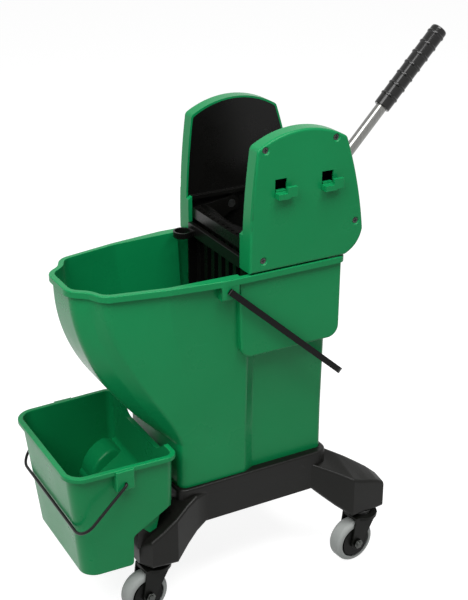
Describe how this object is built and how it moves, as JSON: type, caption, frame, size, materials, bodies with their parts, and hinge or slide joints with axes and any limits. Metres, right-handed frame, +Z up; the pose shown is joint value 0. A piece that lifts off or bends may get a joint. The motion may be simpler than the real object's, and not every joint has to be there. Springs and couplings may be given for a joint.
{
  "type": "mop bucket with wringer",
  "caption": "Wheeled plastic mop bucket with a lever-operated press wringer, a bail, and a small removable front bucket on a swivel-caster base.",
  "frame": {"origin": "on the floor under the middle of the whole set's length and width", "axes": "+Z up, +X to the rear where the handle is, -Y the left side of a person at the handle"},
  "size_m": [0.7318, 0.3222, 0.8695],
  "materials": {
    "green_plastic": "satin moulded plastic",
    "black_plastic": "fine-grained moulded plastic",
    "grip_rubber": "ribbed soft grip",
    "bright_steel": "bright plated tube",
    "black_wire": "black coated wire",
    "dark_steel": "plated fasteners and shafts",
    "bush_plastic": "plain bearing plastic",
    "gear_plastic": "moulded gear plastic",
    "black_metal": "black painted pressing",
    "wheel_plastic": "dark moulded hub",
    "grey_tyre": "grey non-marking tread"
  },
  "bodies": {
    "chassis": {"chassis": "black_plastic", "caster_stem_front_right": "dark_steel", "caster_stem_front_left": "dark_steel", "caster_stem_rear_right": "dark_steel", "caster_stem_rear_left": "dark_steel"},
    "main_bucket": {"main_bucket": "green_plastic"},
    "main_bail": {"main_bail": "black_plastic"},
    "wringer": {"gear_cover_left": "green_plastic", "gear_cover_right": "green_plastic", "wringer_side_left": "black_plastic", "wringer_side_right": "black_plastic", "side_hooks_left": "green_plastic", "side_hooks_right": "green_plastic", "cover_screws_left": "dark_steel", "cover_screws_right": "dark_steel", "shaft_bushes_left": "bush_plastic", "shaft_bushes_right": "bush_plastic", "rear_jaw": "black_plastic", "drain_grid": "black_plastic", "front_crossbar": "black_plastic"},
    "handle": {"drive_shaft": "dark_steel", "handle_yoke": "black_plastic", "yoke_bolt": "dark_steel", "handle_tube": "bright_steel", "handle_grip": "grip_rubber", "drive_gear_left": "gear_plastic", "drive_gear_right": "gear_plastic"},
    "press": {"press_jaw": "black_plastic", "press_pin_left": "dark_steel", "press_pin_right": "dark_steel", "press_gear_left": "gear_plastic", "press_gear_right": "gear_plastic"},
    "small_bucket": {"small_bucket": "green_plastic"},
    "small_bail": {"small_bail": "black_wire"},
    "caster_front_right": {"caster_fork_front_right": "black_metal", "caster_axle_front_right": "dark_steel"},
    "wheel_front_right": {"wheel_hub_front_right": "wheel_plastic", "tyre_front_right": "grey_tyre"},
    "caster_front_left": {"caster_fork_front_left": "black_metal", "caster_axle_front_left": "dark_steel"},
    "wheel_front_left": {"wheel_hub_front_left": "wheel_plastic", "tyre_front_left": "grey_tyre"},
    "caster_rear_right": {"caster_fork_rear_right": "black_metal", "caster_axle_rear_right": "dark_steel"},
    "wheel_rear_right": {"wheel_hub_rear_right": "wheel_plastic", "tyre_rear_right": "grey_tyre"},
    "caster_rear_left": {"caster_fork_rear_left": "black_metal", "caster_axle_rear_left": "dark_steel"},
    "wheel_rear_left": {"wheel_hub_rear_left": "wheel_plastic", "tyre_rear_left": "grey_tyre"}
  },
  "joints": [
    {"name": "main_bucket_lift", "type": "slide", "parent": "chassis", "child": "main_bucket", "axis": [0, 0, 1], "range_m": [0, 0.25]},
    {"name": "main_bail_swing", "type": "hinge", "parent": "main_bucket", "child": "main_bail", "pos_m": [-0.09085, 0, 0.5363], "axis": [0, -1, 0], "range_deg": [0, 55]},
    {"name": "wringer_lift", "type": "slide", "parent": "main_bucket", "child": "wringer", "axis": [0, 0, 1], "range_m": [0, 0.25]},
    {"name": "handle_turn", "type": "hinge", "parent": "wringer", "child": "handle", "pos_m": [0.10715, 0, 0.5943], "axis": [0, 1, 0], "range_deg": [0, 75], "stiffness_Nm_per_rad": 0.9, "springref_deg": -57.3},
    {"name": "press_turn", "type": "hinge", "parent": "wringer", "child": "press", "pos_m": [0.02115, 0, 0.5943], "axis": [0, 1, 0], "range_deg": [-45, 0]},
    {"name": "small_bucket_lift", "type": "slide", "parent": "chassis", "child": "small_bucket", "axis": [-0.7071, 0, 0.7071], "range_m": [0, 0.12]},
    {"name": "small_bail_swing", "type": "hinge", "parent": "small_bucket", "child": "small_bail", "pos_m": [-0.27685, 0, 0.266], "axis": [0, 1, 0], "range_deg": [0, 120]},
    {"name": "front_right_swivel", "type": "hinge", "parent": "chassis", "child": "caster_front_right", "pos_m": [-0.21885, 0.097, 0.08], "axis": [0, 0, 1], "continuous": true},
    {"name": "front_right_roll", "type": "hinge", "parent": "caster_front_right", "child": "wheel_front_right", "pos_m": [-0.24076, 0.09907, 0.0375], "axis": [0.0941, 0.9956, 0], "continuous": true},
    {"name": "front_left_swivel", "type": "hinge", "parent": "chassis", "child": "caster_front_left", "pos_m": [-0.21885, -0.097, 0.08], "axis": [0, 0, 1], "continuous": true},
    {"name": "front_left_roll", "type": "hinge", "parent": "caster_front_left", "child": "wheel_front_left", "pos_m": [-0.24076, -0.09907, 0.0375], "axis": [-0.0941, 0.9956, 0], "continuous": true},
    {"name": "rear_right_swivel", "type": "hinge", "parent": "chassis", "child": "caster_rear_right", "pos_m": [0.15315, 0.134, 0.08], "axis": [0, 0, 1], "continuous": true},
    {"name": "rear_right_roll", "type": "hinge", "parent": "caster_rear_right", "child": "wheel_rear_right", "pos_m": [0.13124, 0.13607, 0.0375], "axis": [0.0941, 0.9956, 0], "continuous": true},
    {"name": "rear_left_swivel", "type": "hinge", "parent": "chassis", "child": "caster_rear_left", "pos_m": [0.15315, -0.134, 0.08], "axis": [0, 0, 1], "continuous": true},
    {"name": "rear_left_roll", "type": "hinge", "parent": "caster_rear_left", "child": "wheel_rear_left", "pos_m": [0.13124, -0.13607, 0.0375], "axis": [-0.0941, 0.9956, 0], "continuous": true}
  ],
  "couplings": [
    {"joint": "press_turn", "follows": "handle_turn", "ratio": -0.59259}
  ]
}
